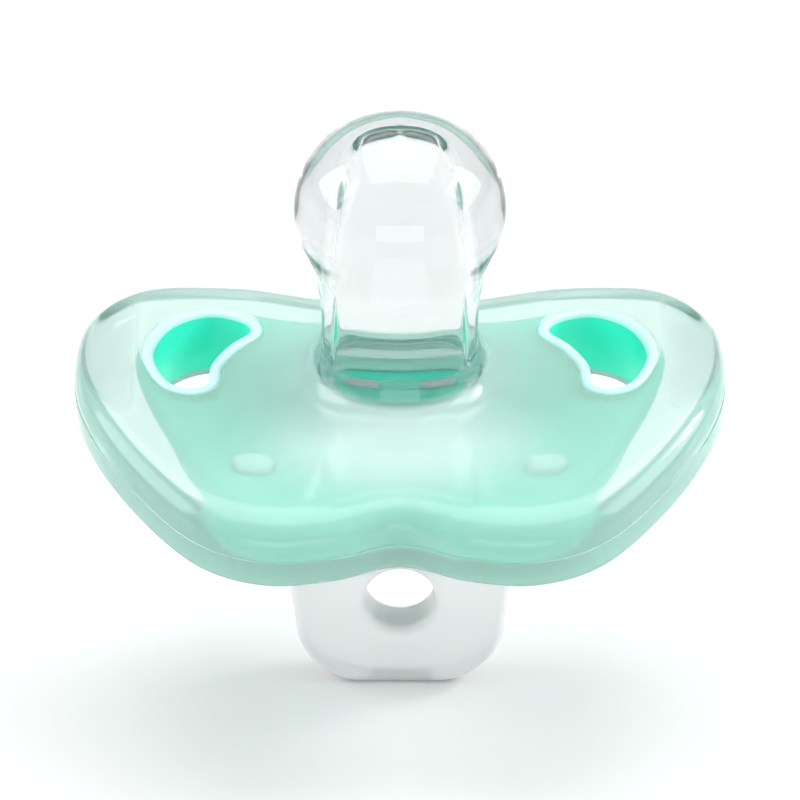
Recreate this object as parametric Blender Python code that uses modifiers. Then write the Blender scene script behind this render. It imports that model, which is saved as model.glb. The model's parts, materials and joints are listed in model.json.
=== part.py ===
"""A silicone pacifier, standing teat up on the foot of its handle tab.

A rigid mint shield core is moulded into a clear silicone skin, and its two collars come up through the
skin as the walls of the vents. The hollow teat rises from the skin, and
the handle tab hangs from a root that is keyed through a mint plug, which closes the teat's cavity from
behind. The silicone flexes at the teat's neck and at the tab's root. Each flex is a round seat and a
round end that turns in it, so the silicone is split there.

X runs across the wings, Y from the chin side to the nose side, Z up along the teat. The origin is the
middle of the tab's foot.
"""

import math

import bmesh
import bpy
import numpy as np

MM = 0.001
GAP = 0.3 * MM

# Heights of the driving levels above the foot, on which the pacifier stands.
PARTING_Z = 28.4 * MM
TEAT_HINGE_Z = PARTING_Z + 11.0 * MM
TAB_HINGE_Z = PARTING_Z - 7.0 * MM

# Places along Y, from the middle of the foot.
SHIELD_Y = -1.67 * MM
TEAT_Y = SHIELD_Y + 4.5 * MM

# The shield: one plate, whose rim is parted at PARTING_Z, with two wings that rise towards the face.
SHIELD_HALF_WIDTH = 30.3 * MM
SHIELD_STEPS = 64
UPPER_HEIGHT = 3.8 * MM
LOWER_HEIGHT = 3.0 * MM
WING_START = 9.0 * MM
WING_LIFT = 3.0 * MM
SHIELD_CLEAR = 9.0 * MM
# The right half of the shield's outline at the parting level, from the chin notch to the nose notch.
OUTLINE_MM = (
    (0.0, -18.1),
    (6.0, -20.3),
    (12.5, -21.0),
    (18.8, -18.3),
    (25.05, -10.5),
    (29.05, -2.4),
    (30.3, 5.0),
    (29.2, 12.9),
    (24.2, 19.2),
    (15.5, 21.3),
    (7.5, 19.8),
    (0.0, 17.8),
)
# The rim's section from the bottom edge to the flat top, as (inset, height above the parting level).
RIM_SECTION_MM = (
    (1.1, -3.0),
    (0.2, -2.6),
    (-0.1, -1.9),
    (-0.1, 0.0),
    (0.0, 1.2),
    (0.5, 2.4),
    (1.6, 3.35),
    (3.4, 3.8),
)
# The flare from the flat top to the teat's neck, as (radius, height above the parting level).
FLARE_MM = ((11.0, 3.8), (9.4, 4.2), (8.4, 5.0), (7.8, 6.1), (7.45, 7.3))
# How far in towards the teat's axis the rings across a flat face lie.
FACE_SHARES = (0.25, 0.5, 0.75)
CURVE_STEPS = 24

# The mint core inside the skin. It lies closest to the rim in the middle, and deepest at the wings.
CORE_OUTLINE_MM = (
    (0.0, -16.2),
    (5.5, -17.8),
    (10.5, -18.2),
    (15.2, -16.0),
    (18.9, -11.0),
    (21.8, -4.9),
    (24.2, 1.5),
    (25.0, 6.5),
    (23.9, 11.5),
    (20.4, 15.3),
    (15.5, 16.2),
    (10.0, 15.2),
    (5.0, 14.6),
    (0.0, 14.3),
)
CORE_TOP = 2.5 * MM
CORE_BOTTOM = -1.8 * MM
CORE_EDGE = 1.6 * MM
CORE_CENTRE = 7.0 * MM

# The vents. The outline is the right one's, in millimetres, seen from above.
VENT_MM = (
    (23.0, 5.9),
    (21.6, 10.8),
    (18.4, 13.7),
    (15.2, 13.4),
    (14.1, 11.6),
    (16.1, 8.7),
    (17.6, 5.2),
    (17.9, 2.0),
    (19.6, 0.7),
    (21.6, 1.7),
)
VENT_STEPS = 28
# The core's collar round each vent, up to the skin's top, and down to its thin underside.
COLLAR = 1.1 * MM
COLLAR_BOTTOM = -2.3 * MM

# Silicone posts that tie the skin's top to its underside through the core.
POST_X = 13.3 * MM
POST_Y = -10.3 * MM
POST_HALF = (1.9 * MM, 1.5 * MM)
POST_STEPS = 16
POST_POWER = 2.3

# The port through the shield, which carries on as the teat's cavity.
PORT_HALF = (5.5 * MM, 3.3 * MM)
PORT_STEPS = 32
OVAL_POWER = 2.6

# The teat. Radii and heights above the parting level of its turned outside, from the tip down.
TEAT_MM = (
    (0.0, 30.2),
    (2.0, 30.0),
    (4.1, 29.4),
    (6.0, 28.45),
    (7.55, 27.2),
    (8.75, 25.5),
    (9.45, 23.6),
    (9.7, 21.7),
    (9.5, 19.7),
    (8.75, 17.7),
    (8.0, 15.8),
    (7.65, 13.8),
    (7.35, 11.7),
    (7.25, 9.6),
    (7.3, 8.1),
)
SEAT_RADIUS = 8.0 * MM
SEAT_STEPS = 48
# The cavity's half width, half depth and height above the parting level, from the mouth up.
CAVITY_MM = (
    (5.5, 3.3, 1.5),
    (5.5, 3.3, 4.5),
    (5.1, 3.2, 7.5),
    (4.8, 3.1, 10.5),
    (4.8, 3.0, 17.0),
    (4.8, 2.9, 23.0),
    (4.4, 2.7, 25.6),
    (3.4, 2.2, 27.4),
    (1.8, 1.4, 28.2),
)

# The mint plug in the port, and its two keyed slots.
PLUG_TOP = 2.4 * MM
SLOT_X = 2.85 * MM
SLOT_HALF = (1.6 * MM, 0.9 * MM)
SLOT_STEPS = 16
SLOT_POWER = 5
LEG_OVERLAP = 1.0 * MM

# The tab and its root. TAB_RADIUS is half the tab's thickness and its round end's radius.
TAB_Y = 0.0
TAB_RADIUS = 2.3 * MM
ROOT_HALF_WIDTH = 12.3 * MM
ROOT_Y = TAB_Y + 1.0 * MM
ROOT_HALF_DEPTH = 4.6 * MM
ROOT_BOTTOM = TAB_HINGE_Z + 1.4 * MM
ROOT_POWER = 6
# The tab narrows a little from its hinge to its corners, which are round down to the flat foot.
TAB_HINGE_HALF_WIDTH = 11.9 * MM
TAB_CORNER_HALF_WIDTH = 9.95 * MM
TAB_CORNER = 6.9 * MM
TAB_EDGE = 0.9 * MM
TAB_POWER = 7
TAB_STEPS = 40
# The strap hole: a straight throat between two rounded mouths.
HOLE_Z = 9.6 * MM
HOLE_RADIUS = 3.3 * MM
HOLE_MOUTH = 1.1 * MM
HOLE_STEPS = 36

MINT = (0.36, 0.80, 0.68, 1.0)
CLEAR = (0.86, 0.93, 0.92, 1.0)


def start_scene():
    for obj in list(bpy.data.objects):
        bpy.data.objects.remove(obj)
    parts = bpy.data.collections.new("pacifier")
    cutters = bpy.data.collections.new("cutters")
    for collection in (parts, cutters):
        bpy.context.scene.collection.children.link(collection)
    return parts, cutters


def material(name, color, roughness):
    made = bpy.data.materials.new(name)
    made.use_nodes = True
    shader = made.node_tree.nodes["Principled BSDF"]
    shader.inputs["Base Color"].default_value = color
    shader.inputs["Roughness"].default_value = roughness
    shader.inputs["Metallic"].default_value = 0.0
    return made


# Outlines


def smooth_loop(points, steps):
    """A closed curve through the points, evenly spaced: Catmull-Rom, whose tangents follow the chords."""
    points = np.asarray(points, float)
    before = np.roll(points, 1, axis=0)
    after = np.roll(points, -1, axis=0)
    second = np.roll(points, -2, axis=0)
    t = np.linspace(0, 1, CURVE_STEPS, endpoint=False)[None, :, None]
    p0, p1, p2, p3 = (p[:, None, :] for p in (before, points, after, second))
    curve = 0.5 * (
        2 * p1
        + (p2 - p0) * t
        + (2 * p0 - 5 * p1 + 4 * p2 - p3) * t**2
        + (3 * p1 - 3 * p2 + p3 - p0) * t**3
    ).reshape(-1, 2)
    closed = np.vstack([curve, curve[:1]])
    lengths = np.linalg.norm(np.diff(closed, axis=0), axis=1)
    along = np.concatenate([[0.0], np.cumsum(lengths)])
    wanted = np.linspace(0, along[-1], steps, endpoint=False)
    return np.column_stack([np.interp(wanted, along, closed[:, i]) for i in (0, 1)])


def mirrored_outline(half):
    """The closed outline whose right half is given, anticlockwise from the chin notch, about SHIELD_Y."""
    right = np.array(half) * MM
    left = right[-2:0:-1] * (-1, 1)
    return smooth_loop(np.vstack([right, left]), SHIELD_STEPS) + (0, SHIELD_Y)


def vent_outline(side, steps=VENT_STEPS):
    """side is 1 for the right vent and -1 for the left one, both anticlockwise."""
    loop = smooth_loop(np.array(VENT_MM) * MM, steps) + (0, SHIELD_Y)
    return loop if side > 0 else loop[::-1] * (-1, 1)


def oval(half_x, half_y, centre, steps=PORT_STEPS, power=OVAL_POWER):
    """A superellipse, between an ellipse (power 2) and a rectangle."""
    angle = np.linspace(0, 2 * math.pi, steps, endpoint=False)
    cosine, sine = np.cos(angle), np.sin(angle)
    x = half_x * np.sign(cosine) * np.abs(cosine) ** (2 / power)
    y = half_y * np.sign(sine) * np.abs(sine) ** (2 / power)
    return np.column_stack([x, y]) + centre


def inset(loop, distance):
    """Moves an anticlockwise loop inwards by distance, or outwards if it is negative."""
    along = np.roll(loop, -1, axis=0) - np.roll(loop, 1, axis=0)
    along /= np.linalg.norm(along, axis=1)[:, None]
    inward = np.column_stack([-along[:, 1], along[:, 0]])
    return loop + inward * distance


def at_height(loop, z):
    return np.column_stack([loop, np.full(len(loop), z)])


def toward(loop, radius, share):
    """The loop pulled towards a circle round the teat's axis: share 0 is the loop, and 1 the circle."""
    centre = np.array((0.0, TEAT_Y))
    spokes = loop - centre
    reach = np.linalg.norm(spokes, axis=1)[:, None]
    return centre + spokes / reach * (reach * (1 - share) + radius * share)


# Meshes


def loft(name, rings, collection):
    """A closed solid through anticlockwise rings of equal length, from the lowest ring up."""
    mesh = bpy.data.meshes.new(name)
    shape = bmesh.new()
    rows = [[shape.verts.new(point) for point in ring] for ring in rings]
    steps = len(rows[0])
    for low, high in zip(rows, rows[1:]):
        for i in range(steps):
            j = (i + 1) % steps
            shape.faces.new((low[i], low[j], high[j], high[i]))
    shape.faces.new(rows[0][::-1])
    shape.faces.new(rows[-1])
    shape.to_mesh(mesh)
    shape.free()
    obj = bpy.data.objects.new(name, mesh)
    collection.objects.link(obj)
    return obj


def prism(name, loop, low, high, cutters):
    return loft(name, [at_height(loop, low), at_height(loop, high)], cutters)


def through_prism(name, loop, cutters):
    """A prism that is taller than the shield."""
    return prism(name, loop, PARTING_Z - SHIELD_CLEAR, PARTING_Z + SHIELD_CLEAR, cutters)


def cylinder(name, radius, half_length, location, cutters):
    """A round bar along X."""
    bpy.ops.mesh.primitive_cylinder_add(
        vertices=SEAT_STEPS,
        radius=radius,
        depth=2 * half_length,
        location=location,
        rotation=(0, math.pi / 2, 0),
    )
    obj = bpy.context.object
    obj.name = name
    return move_to(obj, cutters)


def ball(name, radius, location, cutters):
    bpy.ops.mesh.primitive_uv_sphere_add(
        segments=SEAT_STEPS,
        ring_count=SEAT_STEPS // 2,
        radius=radius,
        location=location,
    )
    obj = bpy.context.object
    obj.name = name
    return move_to(obj, cutters)


def move_to(obj, collection):
    for old in list(obj.users_collection):
        old.objects.unlink(obj)
    collection.objects.link(obj)
    return obj


def cut(obj, *tools):
    """Takes the tools' shapes out of obj, and hides them."""
    for tool in tools:
        boolean = obj.modifiers.new("cut_" + tool.name, "BOOLEAN")
        boolean.operation = "DIFFERENCE"
        boolean.object = tool
        hide(tool)


def join(obj, *tools):
    for tool in tools:
        boolean = obj.modifiers.new("join_" + tool.name, "BOOLEAN")
        boolean.operation = "UNION"
        boolean.object = tool
        hide(tool)


def hide(tool):
    tool.hide_render = True
    tool.display_type = "WIRE"


def settle(obj):
    """Applies obj's modifiers, so that its mesh can be bent."""
    bpy.context.view_layer.update()
    graph = bpy.context.evaluated_depsgraph_get()
    mesh = bpy.data.meshes.new_from_object(obj.evaluated_get(graph))
    obj.modifiers.clear()
    obj.data = mesh


def raise_wings(obj):
    """Bends the shield's wings up, from WING_START outwards, as a parabola."""
    span = SHIELD_HALF_WIDTH - WING_START
    for vertex in obj.data.vertices:
        past = max(0.0, abs(vertex.co.x) - WING_START) / span
        vertex.co.z += WING_LIFT * past**2


def finish(obj, look):
    obj.data.materials.clear()
    obj.data.materials.append(look)
    obj.data.shade_smooth()
    obj.data.set_sharp_from_angle(angle=math.radians(35))


def put_origin(obj, origin):
    """Moves obj's origin without moving its shape."""
    offset = np.array(origin)
    for vertex in obj.data.vertices:
        vertex.co = np.array(vertex.co) - offset
    obj.location = origin


# The shield


def face_rings(loop, z, radius):
    """Rings across a flat face, from beside the loop in towards a circle round the teat's axis."""
    return [at_height(toward(loop, radius, share), z) for share in FACE_SHARES]


def skin_body(parts):
    """The skin's outside as a solid: the underside, the rim, the flat top and the flare."""
    outline = mirrored_outline(OUTLINE_MM)
    sections = np.array(RIM_SECTION_MM) * MM
    flare = np.array(FLARE_MM) * MM
    radius = flare[0][0]
    bottom_loop = inset(outline, sections[0][0])
    top_loop = inset(outline, sections[-1][0])
    under = face_rings(bottom_loop, PARTING_Z - LOWER_HEIGHT, radius)[::-1]
    rim = [at_height(inset(outline, d), PARTING_Z + z) for d, z in sections]
    over = face_rings(top_loop, PARTING_Z + UPPER_HEIGHT, radius)
    neck = [at_height(toward(top_loop, r, 1.0), PARTING_Z + z) for r, z in flare]
    return loft("shield_skin", under + rim + over + neck, parts)


def core_solid(name, grow, collection):
    """The core's plate, with its upper edge rounded, grown by the distance grow on every side."""
    loop = inset(mirrored_outline(CORE_OUTLINE_MM), -grow)
    bottom = PARTING_Z + CORE_BOTTOM - grow
    top = PARTING_Z + CORE_TOP + grow
    rings = face_rings(loop, bottom, CORE_CENTRE)[::-1]
    rings.append(at_height(loop, bottom))
    for turn in np.radians((0, 45, 90)):
        edge = inset(loop, CORE_EDGE * (1 - math.cos(turn)))
        rings.append(at_height(edge, top - CORE_EDGE * (1 - math.sin(turn))))
    rings += face_rings(edge, top, CORE_CENTRE)
    return loft(name, rings, collection)


def vent_prisms(prefix, grow, cutters):
    tools = []
    for side, word in ((-1, "left"), (1, "right")):
        loop = inset(vent_outline(side), -grow)
        tools.append(through_prism(f"{prefix}_vent_{word}", loop, cutters))
    return tools


def collar_prisms(prefix, grow, top, cutters):
    tools = []
    for side, word in ((-1, "left"), (1, "right")):
        loop = inset(vent_outline(side), -COLLAR - grow)
        low = PARTING_Z + COLLAR_BOTTOM - grow
        tools.append(prism(f"{prefix}_collar_{word}", loop, low, PARTING_Z + top, cutters))
    return tools


def post_prisms(prefix, grow, cutters):
    tools = []
    for side, word in ((-1, "left"), (1, "right")):
        half = [h + grow for h in POST_HALF]
        centre = (side * POST_X, POST_Y + SHIELD_Y)
        loop = oval(*half, centre, POST_STEPS, POST_POWER)
        tools.append(through_prism(f"{prefix}_post_{word}", loop, cutters))
    return tools


def port_cutter(cutters):
    loop = oval(*PORT_HALF, (0, TEAT_Y))
    return through_prism("port_cutter", loop, cutters)


def shield_core(parts, cutters, look):
    core = core_solid("shield_core", 0.0, parts)
    join(core, *collar_prisms("core", 0.0, UPPER_HEIGHT, cutters))
    cut(core, port_cutter(cutters))
    cut(core, *vent_prisms("core", 0.0, cutters))
    cut(core, *post_prisms("core", GAP, cutters))
    settle(core)
    raise_wings(core)
    finish(core, look)


def shield_skin(parts, cutters, look):
    """The skin is moulded round the core and its collars, with a post through each of the core's tie holes."""
    skin = skin_body(parts)
    hollow = core_solid("core_envelope", GAP, cutters)
    join(hollow, *collar_prisms("envelope", GAP, SHIELD_CLEAR, cutters))
    cut(hollow, *post_prisms("tie", 0.0, cutters))
    settle(hollow)
    seat = ball("teat_seat", SEAT_RADIUS + GAP / 2, (0, TEAT_Y, TEAT_HINGE_Z), cutters)
    cut(skin, hollow, seat, port_cutter(cutters), *vent_prisms("skin", 0.0, cutters))
    settle(skin)
    raise_wings(skin)
    finish(skin, look)


# The teat


def teat(parts, cutters, look):
    """A turned bulb and neck over a ball-shaped end, with a flattened cavity that is open below."""
    radius = SEAT_RADIUS - GAP / 2
    drop = TEAT_HINGE_Z - PARTING_Z
    profile = [(r * MM, z * MM - drop) for r, z in TEAT_MM]
    last_r, last_z = profile[-1]
    start = math.atan2(last_r, -last_z)
    arc = [start * share for share in np.linspace(0.9, 0.0, 10)]
    profile += [(radius * math.sin(a), -radius * math.cos(a)) for a in arc]
    mesh = bpy.data.meshes.new("teat")
    points = [(x, 0, z) for x, z in profile]
    mesh.from_pydata(points, [(i, i + 1) for i in range(len(points) - 1)], [])
    obj = bpy.data.objects.new("teat", mesh)
    parts.objects.link(obj)
    obj.location = (0, TEAT_Y, TEAT_HINGE_Z)
    turn = obj.modifiers.new("turn", "SCREW")
    turn.steps = turn.render_steps = SEAT_STEPS
    turn.use_merge_vertices = True
    turn.merge_threshold = 0.00001
    sections = np.array(CAVITY_MM) * MM
    rings = [at_height(oval(a, b, (0, TEAT_Y)), PARTING_Z + z) for a, b, z in sections]
    cut(obj, loft("teat_cavity", rings, cutters))
    settle(obj)
    finish(obj, look)


# The plug, the tab's root and the tab


def slot_prisms(prefix, shrink, low, high, cutters):
    tools = []
    for side, word in ((-1, "left"), (1, "right")):
        half = [h - shrink for h in SLOT_HALF]
        loop = oval(*half, (side * SLOT_X, TEAT_Y), SLOT_STEPS, SLOT_POWER)
        tools.append(prism(f"{prefix}_{word}", loop, low, high, cutters))
    return tools


def rear_plug(parts, cutters, look):
    loop = oval(*[h - GAP for h in PORT_HALF], (0, TEAT_Y))
    plug = prism("rear_plug", loop, PARTING_Z - LOWER_HEIGHT, PARTING_Z + PLUG_TOP, parts)
    cut(plug, *slot_prisms("slot", 0.0, 0.0, PARTING_Z + SHIELD_CLEAR, cutters))
    settle(plug)
    finish(plug, look)


def tab_root(parts, cutters, look):
    """The silicone block under the shield, with two legs in the plug's slots and the tab's round seat."""
    top = PARTING_Z - LOWER_HEIGHT - GAP
    loop = oval(ROOT_HALF_WIDTH, ROOT_HALF_DEPTH, (0, ROOT_Y), TAB_STEPS, ROOT_POWER)
    root = prism("tab_root", loop, ROOT_BOTTOM, top, parts)
    join(root, *slot_prisms("leg", GAP, top - LEG_OVERLAP, PARTING_Z + PLUG_TOP, cutters))
    hinge = (0, TAB_Y, TAB_HINGE_Z)
    cut(root, cylinder("tab_seat", TAB_RADIUS + GAP, 2 * ROOT_HALF_WIDTH, hinge, cutters))
    settle(root)
    finish(root, look)


def tab_sections():
    """(half width, half thickness, height above the foot), from the foot up to the round top end."""
    sections = []
    for turn in np.radians((0, 12, 24, 36, 50, 65, 78, 90)):
        z = TAB_CORNER * (1 - math.cos(turn))
        width = TAB_CORNER_HALF_WIDTH - TAB_CORNER * (1 - math.sin(turn))
        rise = min(1.0, z / TAB_EDGE)
        depth = TAB_RADIUS - TAB_EDGE * (1 - math.sqrt(rise * (2 - rise)))
        sections.append((width, depth, z))
    for turn in np.radians((0, 20, 40, 58, 72, 84)):
        z = TAB_HINGE_Z + TAB_RADIUS * math.sin(turn)
        sections.append((TAB_HINGE_HALF_WIDTH, TAB_RADIUS * math.cos(turn), z))
    return sections


def hole_cutter(cutters):
    """A turned waist along Y, past both faces of the tab."""
    straight = TAB_RADIUS - HOLE_MOUTH
    profile = [(0.0, HOLE_RADIUS)]
    for turn in np.radians((0, 22.5, 45, 67.5, 90)):
        depth = straight + HOLE_MOUTH * math.sin(turn)
        profile.append((depth, HOLE_RADIUS + HOLE_MOUTH * (1 - math.cos(turn))))
    profile.append((1.3 * TAB_RADIUS, HOLE_RADIUS + HOLE_MOUTH))
    profile = [(-y, r) for y, r in profile[:0:-1]] + profile
    angle = np.linspace(0, 2 * math.pi, HOLE_STEPS, endpoint=False)
    rings = []
    for y, r in profile:
        x = r * np.sin(angle)
        z = HOLE_Z + r * np.cos(angle)
        rings.append(np.column_stack([x, np.full(len(x), TAB_Y + y), z]))
    return loft("hole_cutter", rings, cutters)


def handle_tab(parts, cutters, look):
    rings = []
    for width, depth, z in tab_sections():
        rings.append(at_height(oval(width, depth, (0, TAB_Y), TAB_STEPS, TAB_POWER), z))
    tab = loft("handle_tab", rings, parts)
    cut(tab, hole_cutter(cutters))
    settle(tab)
    put_origin(tab, (0, TAB_Y, TAB_HINGE_Z))
    finish(tab, look)


def main():
    parts, cutters = start_scene()
    mint = material("mint_plastic", MINT, 0.35)
    clear = material("clear_silicone", CLEAR, 0.15)
    frosted = material("frosted_silicone", CLEAR, 0.35)
    shield_core(parts, cutters, mint)
    shield_skin(parts, cutters, clear)
    teat(parts, cutters, clear)
    rear_plug(parts, cutters, mint)
    tab_root(parts, cutters, frosted)
    handle_tab(parts, cutters, frosted)


main()
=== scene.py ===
"""The looks of a silicone pacifier that stands teat up on its handle tab.

silicone_body is the clear skin of the shield with the hollow teat, in one piece that bends at the
teat's neck. Inside it lie mint_core, the coloured plate, and mint_plug, which closes the teat's
cavity. The two keys fill the plug's slots. The two vent beads and the two tie posts are milky
parts of the skin, whose pale mint is partly a painted highlight. silicone_tab is the frosted
handle, in one piece that bends at its root.
"""

import json
import math

import bmesh
import bpy
import numpy as np
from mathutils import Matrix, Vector


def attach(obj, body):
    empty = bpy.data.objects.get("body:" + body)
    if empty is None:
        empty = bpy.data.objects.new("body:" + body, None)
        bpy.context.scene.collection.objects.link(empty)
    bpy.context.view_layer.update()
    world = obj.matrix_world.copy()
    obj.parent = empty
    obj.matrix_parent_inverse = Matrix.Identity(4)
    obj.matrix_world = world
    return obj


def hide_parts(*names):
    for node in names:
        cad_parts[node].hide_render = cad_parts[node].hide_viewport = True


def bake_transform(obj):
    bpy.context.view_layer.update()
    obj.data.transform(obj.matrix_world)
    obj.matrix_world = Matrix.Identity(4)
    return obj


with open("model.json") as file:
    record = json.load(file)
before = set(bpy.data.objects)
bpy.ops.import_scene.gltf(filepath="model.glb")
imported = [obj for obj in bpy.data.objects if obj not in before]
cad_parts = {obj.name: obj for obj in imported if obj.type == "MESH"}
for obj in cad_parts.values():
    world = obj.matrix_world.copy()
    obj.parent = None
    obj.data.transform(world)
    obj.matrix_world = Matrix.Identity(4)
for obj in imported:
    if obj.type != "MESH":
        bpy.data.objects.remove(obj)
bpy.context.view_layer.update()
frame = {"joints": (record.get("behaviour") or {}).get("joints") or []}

MM = 0.001

# The frame's driving places, and how far the teat's hinge lies above the parting line and behind
# the shield's middle.
TEAT_HINGE_HEIGHT = 11.0 * MM
TEAT_BACK = 4.5 * MM
hinges = {joint["name"]: Vector(joint["pos_m"]) for joint in frame["joints"]}
TEAT_HINGE = hinges["teat_bend"]
TAB_HINGE = hinges["tab_bend"]
PARTING_Z = TEAT_HINGE.z - TEAT_HINGE_HEIGHT
TEAT_Y = TEAT_HINGE.y
SHIELD_Y = TEAT_Y - TEAT_BACK
TAB_Y = TAB_HINGE.y

# The shield's skin. Heights are above the parting line, and insets are in from the outline.
SHIELD_HALF_WIDTH = 30.3 * MM
SHIELD_STEPS = 320
UPPER_HEIGHT = 3.8
LOWER_HEIGHT = 3.0
WING_START = 9.0 * MM
WING_LIFT = 3.0 * MM
OUTLINE_MM = (
    (0.0, -18.1),
    (6.0, -20.3),
    (12.5, -21.0),
    (18.8, -18.3),
    (25.05, -10.5),
    (29.05, -2.4),
    (30.3, 5.0),
    (29.2, 12.9),
    (24.2, 19.2),
    (15.5, 21.3),
    (7.5, 19.8),
    (0.0, 17.8),
)
BOTTOM_EDGE = 1.1
LOWER_PROUD = 0.06
PARTING_STEP = 0.04
LOWER_RIM = (-1.0, -0.3, -PARTING_STEP)
SHOULDER_MM = ((0.0, 0.05), (0.02, 1.2), (0.5, 2.4), (1.6, 3.35), (3.4, 3.76), (5.0, 3.8))
FACE_RINGS = 18
FLARE_RADIUS = 12.0
TURNED_MM = (
    (12.0, 3.8),
    (10.6, 3.92),
    (9.4, 4.25),
    (8.4, 5.0),
    (7.8, 6.1),
    (7.45, 7.3),
    (7.27, 8.6),
    (7.25, 9.9),
    (7.35, 11.7),
    (7.65, 13.8),
    (8.0, 15.8),
    (8.75, 17.7),
    (9.5, 19.7),
    (9.7, 21.7),
    (9.45, 23.6),
    (8.75, 25.5),
    (7.55, 27.2),
    (6.0, 28.45),
    (4.1, 29.4),
    (2.0, 30.0),
    (0.05, 30.2),
)
TURNED_STEPS = 7

# How far a cutter reaches past the faces that it cuts.
CLEAR = 8.0

# The vents.
VENT_MM = (
    (23.0, 5.9),
    (21.6, 10.8),
    (18.4, 13.7),
    (15.2, 13.4),
    (14.1, 11.6),
    (16.1, 8.7),
    (17.6, 5.2),
    (17.9, 2.0),
    (19.6, 0.7),
    (21.6, 1.7),
)
VENT_STEPS = 120
VENT_LIP = 0.3

# The teat's cavity: half width, half depth and height above the parting line.
PORT_HALF = (5.5, 3.3)
CAVITY_MM = (
    (5.5, 3.3, -2.0),
    (5.5, 3.3, 1.5),
    (5.5, 3.3, 4.5),
    (5.1, 3.2, 7.5),
    (4.8, 3.1, 10.5),
    (4.8, 3.0, 17.0),
    (4.8, 2.9, 23.0),
    (4.4, 2.7, 25.6),
    (3.4, 2.2, 27.4),
    (1.8, 1.4, 28.2),
    (0.1, 0.1, 28.5),
)
OVAL_POWER = 2.6
CAVITY_STEPS = 96
CAVITY_ROWS = 7

# The mint core, with a collar round each vent.
CORE_OUTLINE_MM = (
    (0.0, -16.2),
    (5.5, -17.8),
    (10.5, -18.2),
    (15.2, -16.0),
    (18.9, -11.0),
    (21.8, -4.9),
    (24.2, 1.5),
    (25.0, 6.5),
    (23.9, 11.5),
    (20.4, 15.3),
    (15.5, 16.2),
    (10.0, 15.2),
    (5.0, 14.6),
    (0.0, 14.3),
)
CORE_TOP = 2.5
CORE_BOTTOM = -1.8
CORE_EDGE = 1.6
CORE_CENTRE_RADIUS = 7.5
CORE_PORT_LINING = 0.25
CORE_PORT_LIP = 0.3
COLLAR = 1.1
COLLAR_BOTTOM = -2.3
COLLAR_TOP = 3.5
COLLAR_LIP = 0.04
COLLAR_OVERLAP = 0.05

# The skin's milky beads over the collars, and its posts through the core.
BEAD_TOP = 3.95
BEAD_EDGE = 0.45
BEAD_DEPTH = 2
POST_AT = (13.3, -10.3)
POST_HALF = (1.9, 1.5)
POST_POWER = 2.3
POST_TOP = 3.74
POST_DOME = 0.7
POST_FIT = 0.05
POST_HOLE_LIP = 0.35

# The mint plug and the two silicone keys through it.
PLUG_TOP = 2.4
PLUG_FIT = 0.05
PLUG_EDGE = 0.35
SLOT_X = 2.85
SLOT_HALF = (1.6, 0.9)
SLOT_POWER = 5
SLOT_LIP = 0.15
KEY_FIT = 0.06
KEY_PROUD = 0.25
KEY_EDGE = 0.3
SMALL_OVAL_STEPS = 64

# The tab, in millimetres above the foot.
TAB_HALF_DEPTH = 2.3
TAB_CORNER_HALF_WIDTH = 9.95
TAB_HINGE_HALF_WIDTH = 11.9
TAB_CORNER = 6.9
TAB_CORNER_DEGREES = (0, 4, 8, 12, 17, 23, 30, 38, 46, 54, 62, 70, 78, 84, 90)
TAB_EDGE = 0.9
ROOT_HALF = (12.3, 4.6)
ROOT_SHIFT = 1.0
ROOT_START = 1.2
ROOT_GAP = 0.02
HOLE_Z = 9.6
HOLE_RADIUS = 3.3
HOLE_MOUTH = 1.1

# The camera: its height above level, its distance, and the width that it frames.
CAMERA_ELEVATION = math.radians(33.0)
CAMERA_DISTANCE = 0.43
CAMERA_AIM = Vector((0.0, -0.8 * MM, 31.5 * MM))
FRAMED_WIDTH = 74.074 * MM
SENSOR_MM = 36.0

# The finishes: the range that a noise's values mostly lie in, the heights above the parting line
# between which the skin clears, and the middle of its milky veil, which is whitest there partly as
# a painted glow.
SILICONE_IOR = 1.41
NOISE_RANGE = (0.3, 0.7)
CLEAR_FROM = 4.0 * MM
CLEAR_TO = 6.2 * MM
VEIL_AND_GLOW_CENTRE = (0, TEAT_Y - 12.0 * MM)
# How much lighter the core is painted near the teat's axis: a painted pool of light.
CORE_PAINTED_GLOW = 0.85

# The lights: name, place, width, height and power, all aimed at one point.
LIGHT_AIM = (0, 0, 0.03)
LIGHTS = (
    ("top", (0, 0.18, 0.73), 0.7, 0.7, 3.9),
    ("left", (-0.50, 0.05, 0.32), 0.40, 0.35, 1.9),
    ("right", (0.50, 0.05, 0.32), 0.40, 0.35, 1.9),
    ("front", (0, -0.75, 0.14), 0.7, 0.25, 1.5),
    ("window_near", (0.49, 0.16, 0.34), 0.03, 0.16, 0.35),
    ("window_far", (0.47, 0.22, 0.34), 0.03, 0.16, 0.35),
)
WORLD_STRENGTH = 0.40
FLOOR_SIZE = 6.0


# Outlines


def smooth_loop(points, steps):
    """A closed Catmull-Rom curve through the points, evenly spaced."""
    points = np.asarray(points, float)
    before = np.roll(points, 1, axis=0)
    after = np.roll(points, -1, axis=0)
    second = np.roll(points, -2, axis=0)
    t = np.linspace(0, 1, 48, endpoint=False)[None, :, None]
    curve = catmull_rom(*(p[:, None, :] for p in (before, points, after, second)), t)
    return evenly(curve.reshape(-1, 2), steps)


def catmull_rom(p0, p1, p2, p3, t):
    return 0.5 * (
        2 * p1
        + (p2 - p0) * t
        + (2 * p0 - 5 * p1 + 4 * p2 - p3) * t**2
        + (3 * p1 - 3 * p2 + p3 - p0) * t**3
    )


def evenly(loop, steps):
    """The closed loop with points at equal distances along it."""
    closed = np.vstack([loop, loop[:1]])
    lengths = np.linalg.norm(np.diff(closed, axis=0), axis=1)
    along = np.concatenate([[0.0], np.cumsum(lengths)])
    wanted = np.linspace(0, along[-1], steps, endpoint=False)
    return np.column_stack([np.interp(wanted, along, closed[:, i]) for i in (0, 1)])


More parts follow.
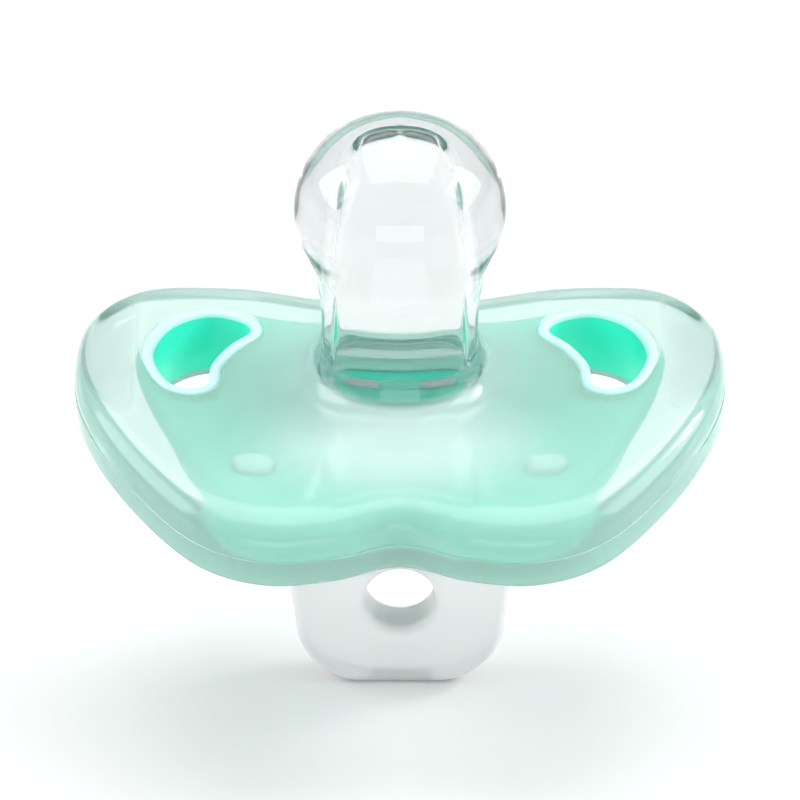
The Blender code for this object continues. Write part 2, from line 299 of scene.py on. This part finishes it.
def smooth_path(points, steps):
    """An open Catmull-Rom curve through the points, with that many steps between two of them."""
    points = np.asarray(points, float)
    first = 2 * points[0] - points[1]
    last = 2 * points[-1] - points[-2]
    padded = np.vstack([first, points, last])
    t = np.linspace(0, 1, steps, endpoint=False)[None, :, None]
    spans = [padded[i : len(padded) - 3 + i][:, None, :] for i in range(4)]
    curve = catmull_rom(*spans, t).reshape(-1, points.shape[1])
    return np.vstack([curve, points[-1:]])


def quarter(steps):
    """Angles of a quarter turn."""
    return np.linspace(0, math.pi / 2, steps + 1)


def mirrored_outline(half, steps=SHIELD_STEPS):
    """The closed outline whose right half is given, about SHIELD_Y."""
    right = np.array(half) * MM
    left = right[-2:0:-1] * (-1, 1)
    return smooth_loop(np.vstack([right, left]), steps) + (0, SHIELD_Y)


def vent_outline(side, steps=VENT_STEPS):
    """A vent's outline, on the left (side -1) or on the right (side 1)."""
    loop = smooth_loop(np.array(VENT_MM) * MM, steps) + (0, SHIELD_Y)
    return loop if side > 0 else loop[::-1] * (-1, 1)


def port_outline(growth):
    """The port's outline, grown all round by so many millimetres."""
    half = [(h + growth) * MM for h in PORT_HALF]
    return oval(*half, (0, TEAT_Y), CAVITY_STEPS, OVAL_POWER)


def post_outline(side, gap=0.0):
    """A post's hole in the core, or what fills it but for a gap."""
    half = [(h - gap) * MM for h in POST_HALF]
    centre = (side * POST_AT[0] * MM, POST_AT[1] * MM + SHIELD_Y)
    return oval(*half, centre, SMALL_OVAL_STEPS, POST_POWER)


def slot_outline(side, gap=0.0):
    """A slot of the plug, or what fills it but for a gap."""
    half = [(h - gap) * MM for h in SLOT_HALF]
    return oval(*half, (side * SLOT_X * MM, TEAT_Y), SMALL_OVAL_STEPS, SLOT_POWER)


def oval(half_x, half_y, centre, steps, power):
    """A superellipse, between an ellipse (power 2) and a rectangle."""
    angle = np.linspace(0, 2 * math.pi, steps, endpoint=False)
    cosine, sine = np.cos(angle), np.sin(angle)
    x = half_x * np.sign(cosine) * np.abs(cosine) ** (2 / power)
    y = half_y * np.sign(sine) * np.abs(sine) ** (2 / power)
    return np.column_stack([x, y]) + centre


def rounded_box(half_x, half_y, radius, centre, side_steps=24, corner_steps=8):
    """A rectangle with round corners, anticlockwise."""
    radius = min(radius, half_x, half_y)
    points = []
    for turn, (sx, sy) in enumerate(((1, 1), (-1, 1), (-1, -1), (1, -1))):
        corner = np.array((sx * (half_x - radius), sy * (half_y - radius)))
        for angle in quarter(corner_steps) + turn * math.pi / 2:
            points.append(corner + radius * np.array((math.cos(angle), math.sin(angle))))
        if turn % 2 == 0:
            start, end = points[-1], points[-1] * (-1, 1)
            for share in np.linspace(0, 1, side_steps + 1)[1:-1]:
                points.append(start + (end - start) * share)
    return np.array(points) + centre


def inset(loop, distance):
    """Moves an anticlockwise loop inwards by distance, or outwards if it is negative."""
    along = np.roll(loop, -1, axis=0) - np.roll(loop, 1, axis=0)
    along /= np.linalg.norm(along, axis=1)[:, None]
    inward = np.column_stack([-along[:, 1], along[:, 0]])
    return loop + inward * distance


def at_height(loop, z):
    return np.column_stack([loop, np.full(len(loop), z)])


def toward(loop, radius, share):
    """The loop pulled towards a circle round the teat's axis."""
    centre = np.array((0.0, TEAT_Y))
    spokes = loop - centre
    reach = np.linalg.norm(spokes, axis=1)[:, None]
    return centre + spokes / reach * (reach * (1 - share) + radius * share)


# Sections, as rows of (inset, height above the parting line) in millimetres


def lower_edge(radius, low, steps):
    """The round edge that starts from an underside."""
    return [(radius * (1 - math.sin(a)), low + radius * (1 - math.cos(a))) for a in quarter(steps)]


def upper_edge(radius, high, steps):
    """The round edge that ends at a top."""
    return [(radius * (1 - math.cos(a)), high - radius * (1 - math.sin(a))) for a in quarter(steps)]


def rings_at(loop, rows):
    """The loop at each row's inset and height."""
    return [at_height(inset(loop, d * MM), PARTING_Z + z * MM) for d, z in rows]


def face_rings(loop, radius, shares, z):
    """Level rings from the loop towards the circle, to divide a flat face."""
    return [at_height(toward(loop, radius * MM, share), PARTING_Z + z * MM) for share in shares]


# Meshes


def loft(name, rings):
    """A closed solid through anticlockwise rings of equal length, from the lowest ring up."""
    mesh = bpy.data.meshes.new(name)
    shape = bmesh.new()
    rows = [[shape.verts.new(point) for point in ring] for ring in rings]
    steps = len(rows[0])
    for low, high in zip(rows, rows[1:]):
        for i in range(steps):
            j = (i + 1) % steps
            shape.faces.new((low[i], low[j], high[j], high[i]))
    shape.faces.new(rows[0][::-1])
    shape.faces.new(rows[-1])
    shape.to_mesh(mesh)
    shape.free()
    obj = bpy.data.objects.new(name, mesh)
    bpy.context.scene.collection.objects.link(obj)
    return obj


def cut(obj, tools, joined=()):
    """Adds the joined shapes to obj, takes the tools' shapes out of it, and removes them all."""
    for tool in [*joined, *tools]:
        boolean = obj.modifiers.new("cut", "BOOLEAN")
        boolean.operation = "UNION" if tool in joined else "DIFFERENCE"
        boolean.object = tool
    bpy.context.view_layer.update()
    graph = bpy.context.evaluated_depsgraph_get()
    mesh = bpy.data.meshes.new_from_object(obj.evaluated_get(graph))
    obj.modifiers.clear()
    obj.data = mesh
    for tool in [*joined, *tools]:
        bpy.data.objects.remove(tool)


def raise_wings(obj):
    """Bends the shield's wings up, from WING_START outwards, as a parabola."""
    span = SHIELD_HALF_WIDTH - WING_START
    for vertex in obj.data.vertices:
        past = max(0.0, abs(vertex.co.x) - WING_START) / span
        vertex.co.z += WING_LIFT * past**2


def finish(obj, look, sharp=40):
    obj.data.materials.clear()
    obj.data.materials.append(look)
    obj.data.shade_smooth()
    obj.data.set_sharp_from_angle(angle=math.radians(sharp))


def lipped_prism(name, loop, low, high, lip, steps=6):
    """A cutter that flares by a quarter round at both ends, so that its hole has rounded lips."""
    rows = [(-lip, low - CLEAR)]
    rows += [(-(lip - lip * math.sin(a)), low + lip - lip * math.cos(a)) for a in quarter(steps)]
    rows += [(-(lip - lip * math.cos(a)), high - lip + lip * math.sin(a)) for a in quarter(steps)]
    rows.append((-lip, high + CLEAR))
    return loft(name, rings_at(loop, rows))


# The shield and the teat


def rim_rows():
    """The rim's section, from the underside to the flat top, with a step at the parting line."""
    rows = [(d - LOWER_PROUD, z) for d, z in lower_edge(BOTTOM_EDGE, -LOWER_HEIGHT, 8)]
    rows += [(-LOWER_PROUD, z) for z in LOWER_RIM]
    rows.append((PARTING_STEP, 0.0))
    rows += [tuple(row) for row in smooth_path(SHOULDER_MM, 6)]
    return rows


def silicone_body(look):
    """The skin and the teat in one loft, with the vents and the cavity cut out."""
    rim = rings_at(mirrored_outline(OUTLINE_MM), rim_rows())
    shares = np.linspace(0, 1, FACE_RINGS + 1)[1:-1]
    under = face_rings(rim[0][:, :2], FLARE_RADIUS, shares[::-1], -LOWER_HEIGHT)
    top_loop = rim[-1][:, :2]
    over = face_rings(top_loop, FLARE_RADIUS, shares, UPPER_HEIGHT)
    turned = [
        at_height(toward(top_loop, r * MM, 1.0), PARTING_Z + z * MM)
        for r, z in smooth_path(TURNED_MM, TURNED_STEPS)
    ]
    body = loft("silicone_body", under + rim + over + turned)
    tools = [vent_hole(side) for side in (-1, 1)]
    cut(body, tools + [cavity_cutter()])
    raise_wings(body)
    finish(body, look)
    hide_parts("shield_skin", "teat")
    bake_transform(body)


def vent_hole(side):
    """The hole in the skin: close round the collar, and narrower below the collar."""
    step = COLLAR_BOTTOM + COLLAR_OVERLAP
    wide = COLLAR - COLLAR_OVERLAP
    rows = [(VENT_LIP, -LOWER_HEIGHT - CLEAR)]
    rows += lower_edge(VENT_LIP, -LOWER_HEIGHT, 5)
    rows += [(0.0, step), (wide, step)]
    rows += [(wide + d, z) for d, z in upper_edge(VENT_LIP, UPPER_HEIGHT, 5)]
    rows.append((rows[-1][0], UPPER_HEIGHT + CLEAR))
    return loft("hole", rings_at(vent_outline(side), [(-d, z) for d, z in rows]))


def cavity_cutter():
    """The cavity with the port below it, down past the underside."""
    sections = [(*PORT_HALF, -LOWER_HEIGHT - CLEAR)]
    sections += [tuple(s) for s in smooth_path(CAVITY_MM, CAVITY_ROWS)]
    rings = [
        at_height(oval(a * MM, b * MM, (0, TEAT_Y), CAVITY_STEPS, OVAL_POWER), PARTING_Z + z * MM)
        for a, b, z in sections
    ]
    return loft("cavity", rings)


def collar(side):
    """The wall of a vent."""
    rows = ((-COLLAR, COLLAR_BOTTOM), (-COLLAR, COLLAR_TOP))
    return loft("collar", rings_at(vent_outline(side), rows))


def hand(side):
    return "left" if side < 0 else "right"


def vent_bead(side, look):
    """The skin's pale bead over the top of a collar."""
    loop = inset(vent_outline(side), -COLLAR * MM)
    rows = [(0.0, COLLAR_TOP), *upper_edge(BEAD_EDGE, BEAD_TOP, 6)]
    bead = loft(f"vent_bead_{hand(side)}", rings_at(loop, rows))
    low = COLLAR_TOP - BEAD_DEPTH
    cut(bead, [lipped_prism("vent", vent_outline(side), low, BEAD_TOP, BEAD_EDGE)])
    raise_wings(bead)
    finish(bead, look)
    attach(bead, "shield")


def tie_post(side, look):
    """One of the skin's posts through the core."""
    rows = [(0.0, CORE_BOTTOM), *upper_edge(POST_DOME, POST_TOP, 6)]
    post = loft(f"tie_post_{hand(side)}", rings_at(post_outline(side, POST_FIT), rows))
    raise_wings(post)
    finish(post, look)
    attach(post, "shield")


def mint_core(look):
    """The coloured plate, with the vents' collars and holes for the posts and the port."""
    rows = lower_edge(CORE_EDGE, CORE_BOTTOM, 6) + upper_edge(CORE_EDGE, CORE_TOP, 8)
    rim = rings_at(mirrored_outline(CORE_OUTLINE_MM), rows)
    shares = np.linspace(0, 1, FACE_RINGS + 1)[1:]
    under = face_rings(rim[0][:, :2], CORE_CENTRE_RADIUS, shares[::-1], CORE_BOTTOM)
    over = face_rings(rim[-1][:, :2], CORE_CENTRE_RADIUS, shares, CORE_TOP)
    core = loft("mint_core", under + rim + over)
    tools = []
    for side in (-1, 1):
        vent = vent_outline(side)
        tools.append(lipped_prism("vent", vent, COLLAR_BOTTOM, COLLAR_TOP, COLLAR_LIP))
        post = post_outline(side)
        tools.append(lipped_prism("post", post, CORE_BOTTOM, CORE_TOP, POST_HOLE_LIP))
    port = port_outline(CORE_PORT_LINING)
    tools.append(lipped_prism("port", port, CORE_BOTTOM, CORE_TOP, CORE_PORT_LIP))
    cut(core, tools, joined=[collar(side) for side in (-1, 1)])
    raise_wings(core)
    finish(core, look)
    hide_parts("shield_core")
    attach(core, "shield")


def mint_plug(look):
    """The plug in the port, with round edges and two slots."""
    rows = lower_edge(PLUG_EDGE, -LOWER_HEIGHT, 5) + upper_edge(PLUG_EDGE, PLUG_TOP, 5)
    plug = loft("mint_plug", rings_at(port_outline(-PLUG_FIT), rows))
    tools = []
    for side in (-1, 1):
        slot = slot_outline(side)
        tools.append(lipped_prism("slot", slot, -LOWER_HEIGHT, PLUG_TOP, SLOT_LIP))
    cut(plug, tools)
    finish(plug, look)
    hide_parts("rear_plug")
    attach(plug, "shield")


def silicone_key(side, look):
    """One of the root's keys, which fills a slot of the plug and stands just proud of it."""
    rows = [(0.0, -LOWER_HEIGHT), *upper_edge(KEY_EDGE, PLUG_TOP + KEY_PROUD, 5)]
    key = loft(f"silicone_key_{hand(side)}", rings_at(slot_outline(side, KEY_FIT), rows))
    finish(key, look)
    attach(key, "shield")


# The tab


def tab_rows():
    """The tab's sections from the foot up: half width, half depth, shift along Y, and height."""
    hinge_z = TAB_HINGE.z / MM
    top = PARTING_Z / MM - LOWER_HEIGHT - ROOT_GAP
    root_z = hinge_z + ROOT_START
    rows = []
    for angle in np.radians(TAB_CORNER_DEGREES):
        z = TAB_CORNER * (1 - math.cos(angle))
        width = TAB_CORNER_HALF_WIDTH - TAB_CORNER * (1 - math.sin(angle))
        rise = min(1.0, z / TAB_EDGE)
        depth = TAB_HALF_DEPTH - TAB_EDGE * (1 - math.sqrt(rise * (2 - rise)))
        rows.append((width, depth, 0.0, z))
    for share in np.linspace(0, 1, 24)[1:]:
        z = TAB_CORNER + (root_z - TAB_CORNER) * share
        widening = TAB_HINGE_HALF_WIDTH - TAB_CORNER_HALF_WIDTH
        width = TAB_CORNER_HALF_WIDTH + widening * share
        rows.append((width, TAB_HALF_DEPTH, 0.0, z))
    for angle in quarter(14)[1:]:
        share = 1 - math.cos(angle)
        z = root_z + (top - root_z) * math.sin(angle)
        width = TAB_HINGE_HALF_WIDTH + (ROOT_HALF[0] - TAB_HINGE_HALF_WIDTH) * share
        depth = TAB_HALF_DEPTH + (ROOT_HALF[1] - TAB_HALF_DEPTH) * share
        rows.append((width, depth, ROOT_SHIFT * share, z))
    return rows


def hole_cutter():
    """A turned waist along Y, past both faces of the tab."""
    straight = TAB_HALF_DEPTH - HOLE_MOUTH
    profile = [(0.0, HOLE_RADIUS)]
    for angle in quarter(10):
        radius = HOLE_RADIUS + HOLE_MOUTH * (1 - math.cos(angle))
        profile.append((straight + HOLE_MOUTH * math.sin(angle), radius))
    profile.append((2 * TAB_HALF_DEPTH, HOLE_RADIUS + HOLE_MOUTH))
    profile = [(-y, r) for y, r in profile[:0:-1]] + profile
    turn = np.linspace(0, 2 * math.pi, 120, endpoint=False)
    rings = []
    for y, r in profile:
        x = r * np.sin(turn) * MM
        z = (HOLE_Z + r * np.cos(turn)) * MM
        rings.append(np.column_stack([x, np.full(len(x), TAB_Y + y * MM), z]))
    return loft("hole", rings)


def silicone_tab(look):
    """The handle and its root in one piece, which bends between the shield and the free tab."""
    rings = []
    for width, depth, shift, z in tab_rows():
        centre = (0, TAB_Y + shift * MM)
        box = rounded_box(width * MM, depth * MM, TAB_EDGE * MM, centre)
        rings.append(at_height(box, z * MM))
    tab = loft("silicone_tab", rings)
    cut(tab, [hole_cutter()])
    finish(tab, look)
    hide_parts("tab_root", "handle_tab")
    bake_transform(tab)


# Materials


def principled(name):
    """A new material, its node tree and its shader."""
    made = bpy.data.materials.new(name)
    made.use_nodes = True
    tree = made.node_tree
    return made, tree, tree.nodes["Principled BSDF"]


def noise(tree, scale, detail=3.0):
    """Noise over the object's own coordinates, in metres."""
    place = tree.nodes.new("ShaderNodeTexCoord")
    made = tree.nodes.new("ShaderNodeTexNoise")
    made.inputs["Scale"].default_value = scale
    made.inputs["Detail"].default_value = detail
    tree.links.new(place.outputs["Object"], made.inputs["Vector"])
    return made


def map_range(tree, value, ends, low, high, smooth=True):
    """Maps a value between two ends to low..high."""
    made = tree.nodes.new("ShaderNodeMapRange")
    made.interpolation_type = "SMOOTHSTEP" if smooth else "LINEAR"
    made.inputs["From Min"].default_value = ends[0]
    made.inputs["From Max"].default_value = ends[1]
    made.inputs["To Min"].default_value = low
    made.inputs["To Max"].default_value = high
    tree.links.new(value, made.inputs["Value"])
    return made.outputs["Result"]


def spread(tree, source, low, high):
    """Maps a noise's middle range to low..high."""
    return map_range(tree, source.outputs["Fac"], NOISE_RANGE, low, high, smooth=False)


def two_tone(tree, value, one, other, ends=(0.0, 1.0)):
    """The colour that goes from one to the other as a value goes from end to end."""
    ramp = tree.nodes.new("ShaderNodeValToRGB")
    for element, place, color in zip(ramp.color_ramp.elements, ends, (one, other)):
        element.position = place
        element.color = (*color, 1)
    tree.links.new(value, ramp.inputs["Fac"])
    return ramp.outputs["Color"]


def bump(tree, shader, source, strength, distance):
    """Fine relief from a noise."""
    made = tree.nodes.new("ShaderNodeBump")
    made.inputs["Strength"].default_value = strength
    made.inputs["Distance"].default_value = distance
    tree.links.new(source.outputs["Fac"], made.inputs["Height"])
    tree.links.new(made.outputs["Normal"], shader.inputs["Normal"])


def absorb(tree, color, density):
    """Tints and dims the light by the way it goes inside."""
    made = tree.nodes.new("ShaderNodeVolumeAbsorption")
    made.inputs["Color"].default_value = (*color, 1)
    made.inputs["Density"].default_value = density
    output = tree.nodes["Material Output"]
    tree.links.new(made.outputs["Volume"], output.inputs["Volume"])


def by_height(tree, ends, low, high):
    """A value that goes from low to high between two heights of the object at rest."""
    place = tree.nodes.new("ShaderNodeTexCoord")
    split = tree.nodes.new("ShaderNodeSeparateXYZ")
    tree.links.new(place.outputs["Object"], split.inputs["Vector"])
    return map_range(tree, split.outputs["Z"], ends, low, high)


def by_distance(tree, centre, ends, low, high, squeeze=1.0):
    """A value that goes from low to high with the plan distance from a point, with X squeezed."""
    place = tree.nodes.new("ShaderNodeTexCoord")
    flat = tree.nodes.new("ShaderNodeVectorMath")
    flat.operation = "MULTIPLY"
    flat.inputs[1].default_value = (squeeze, 1, 0)
    tree.links.new(place.outputs["Object"], flat.inputs[0])
    away = tree.nodes.new("ShaderNodeVectorMath")
    away.operation = "DISTANCE"
    away.inputs[1].default_value = (*centre, 0)
    tree.links.new(flat.outputs["Vector"], away.inputs[0])
    return map_range(tree, away.outputs["Value"], ends, low, high)


def larger(tree, one, other):
    """The larger of two values."""
    made = tree.nodes.new("ShaderNodeMath")
    made.operation = "MAXIMUM"
    tree.links.new(one, made.inputs[0])
    tree.links.new(other, made.inputs[1])
    return made.outputs["Value"]


def clear_silicone():
    """Milky over the shield and clear in the teat; whitest in front of the teat, partly as a
    painted glow.
    """
    made, tree, shader = principled("clear_silicone")
    shader.inputs["IOR"].default_value = SILICONE_IOR
    low = PARTING_Z + CLEAR_FROM
    high = PARTING_Z + CLEAR_TO
    upward = by_height(tree, (low, 2 * high - low), 0.0, 1.0)
    tint = two_tone(tree, upward, (0.80, 1.0, 0.95), (0.99, 0.99, 0.99))
    tree.links.new(tint, shader.inputs["Base Color"])
    # The veil is milky silicone, and its strength in front of the teat is also a painted glow.
    veil_and_glow = by_distance(tree, VEIL_AND_GLOW_CENTRE, (1.5 * MM, 11 * MM), 0.34, 0.66, squeeze=0.65)
    in_teat = by_height(tree, (low, high), 0.0, 0.985)
    tree.links.new(larger(tree, veil_and_glow, in_teat), shader.inputs["Transmission Weight"])
    tree.links.new(by_height(tree, (low, high), 0.11, 0.035), shader.inputs["Roughness"])
    absorb(tree, (0.885, 0.90, 0.897), 250)
    return made


def milky_silicone_and_highlight():
    """The beads and the posts, too milky to see through, whose pale mint is partly a painted
    highlight.
    """
    made, tree, shader = principled("milky_silicone_and_highlight")
    cloud = noise(tree, 200).outputs["Fac"]
    # The pale mint is partly the silicone's own cloudiness and partly a painted highlight of the
    # collar tops and pads.
    tint = two_tone(tree, cloud, (0.56, 0.94, 0.88), (0.60, 0.95, 0.90), NOISE_RANGE)
    tree.links.new(tint, shader.inputs["Base Color"])
    tree.links.new(spread(tree, noise(tree, 400), 0.32, 0.42), shader.inputs["Roughness"])
    shader.inputs["IOR"].default_value = SILICONE_IOR
    return made


def frosted_silicone():
    """The handle and the keys, whose faces are finely etched."""
    made, tree, shader = principled("frosted_silicone")
    shader.inputs["Base Color"].default_value = (0.99, 1.0, 1.0, 1)
    shader.inputs["Transmission Weight"].default_value = 0.36
    shader.inputs["IOR"].default_value = SILICONE_IOR
    tree.links.new(spread(tree, noise(tree, 400), 0.30, 0.42), shader.inputs["Roughness"])
    bump(tree, shader, noise(tree, 2500), 0.15, 0.00005)
    absorb(tree, (0.86, 0.91, 0.90), 15)
    return made


def mint_plastic(name, pale):
    """Mint, lighter by the given share near the teat's axis: a painted pool of light, where light
    through the teat would fall.
    """
    made, tree, shader = principled(name)
    cloud = noise(tree, 60).outputs["Fac"]
    mint = two_tone(tree, cloud, (0.045, 0.90, 0.67), (0.065, 0.92, 0.70), NOISE_RANGE)
    # The lighter mint round the teat's axis is painted light, not a colour of the plastic.
    mix = tree.nodes.new("ShaderNodeMixRGB")
    mix.inputs["Color2"].default_value = (0.62, 0.98, 0.93, 1)
    glow_share = by_distance(tree, (0, TEAT_Y), (8 * MM, 18 * MM), pale, 0.0)
    tree.links.new(glow_share, mix.inputs["Fac"])
    tree.links.new(mint, mix.inputs["Color1"])
    tree.links.new(mix.outputs["Color"], shader.inputs["Base Color"])
    tree.links.new(spread(tree, noise(tree, 500), 0.38, 0.48), shader.inputs["Roughness"])
    bump(tree, shader, noise(tree, 1800), 0.1, 0.00004)
    return made


def floor_paint():
    """Matt white."""
    made, tree, shader = principled("floor_paint")
    cloud = noise(tree, 12).outputs["Fac"]
    paint = two_tone(tree, cloud, (0.84, 0.84, 0.84), (0.86, 0.86, 0.86))
    tree.links.new(paint, shader.inputs["Base Color"])
    shader.inputs["Roughness"].default_value = 0.9
    shader.inputs["Specular IOR Level"].default_value = 0.1
    return made


# The studio


def make_floor():
    bpy.ops.mesh.primitive_plane_add(size=FLOOR_SIZE, location=(0, 0, 0))
    floor = bpy.context.object
    floor.name = "floor"
    floor.data.materials.append(floor_paint())


def area_light(name, place, width, height, power):
    """A rectangle of light, turned towards LIGHT_AIM."""
    data = bpy.data.lights.new(name, "AREA")
    data.shape = "RECTANGLE"
    data.size = width
    data.size_y = height
    data.energy = power
    light = bpy.data.objects.new(name, data)
    bpy.context.scene.collection.objects.link(light)
    light.location = place
    light.rotation_mode = "QUATERNION"
    aim = Vector(LIGHT_AIM) - Vector(place)
    light.rotation_quaternion = aim.to_track_quat("-Z", "Y")


def make_lights():
    for light in LIGHTS:
        area_light(*light)


def make_world():
    """A white sky that is greyer towards the floor."""
    world = bpy.data.worlds.new("studio")
    bpy.context.scene.world = world
    world.use_nodes = True
    tree = world.node_tree
    place = tree.nodes.new("ShaderNodeTexCoord")
    split = tree.nodes.new("ShaderNodeSeparateXYZ")
    tree.links.new(place.outputs["Generated"], split.inputs["Vector"])
    sky = two_tone(tree, split.outputs["Z"], (0.42, 0.44, 0.44), (1, 1, 1), (0.0, 0.8))
    background = tree.nodes["Background"]
    background.inputs["Strength"].default_value = WORLD_STRENGTH
    tree.links.new(sky, background.inputs["Color"])


def make_camera():
    data = bpy.data.cameras.new("camera")
    camera = bpy.data.objects.new("camera", data)
    bpy.context.scene.collection.objects.link(camera)
    back = Vector((0, -math.cos(CAMERA_ELEVATION), math.sin(CAMERA_ELEVATION)))
    camera.location = CAMERA_AIM + back * CAMERA_DISTANCE
    camera.rotation_mode = "QUATERNION"
    camera.rotation_quaternion = (-back).to_track_quat("-Z", "Y")
    data.sensor_width = SENSOR_MM
    data.lens = SENSOR_MM * CAMERA_DISTANCE / FRAMED_WIDTH
    data.clip_start = 0.01
    data.clip_end = 20
    bpy.context.scene.camera = camera


clear = clear_silicone()
frosted = frosted_silicone()
silicone_body(clear)
mint_core(mint_plastic("mint_plastic", CORE_PAINTED_GLOW))
mint_plug(mint_plastic("mint_plug_plastic", 0.0))
milky = milky_silicone_and_highlight()
for side in (-1, 1):
    vent_bead(side, milky)
    tie_post(side, milky)
    silicone_key(side, frosted)
silicone_tab(frosted)
make_floor()
make_lights()
make_world()
make_camera()
bpy.context.scene.view_settings.view_transform = "Standard"
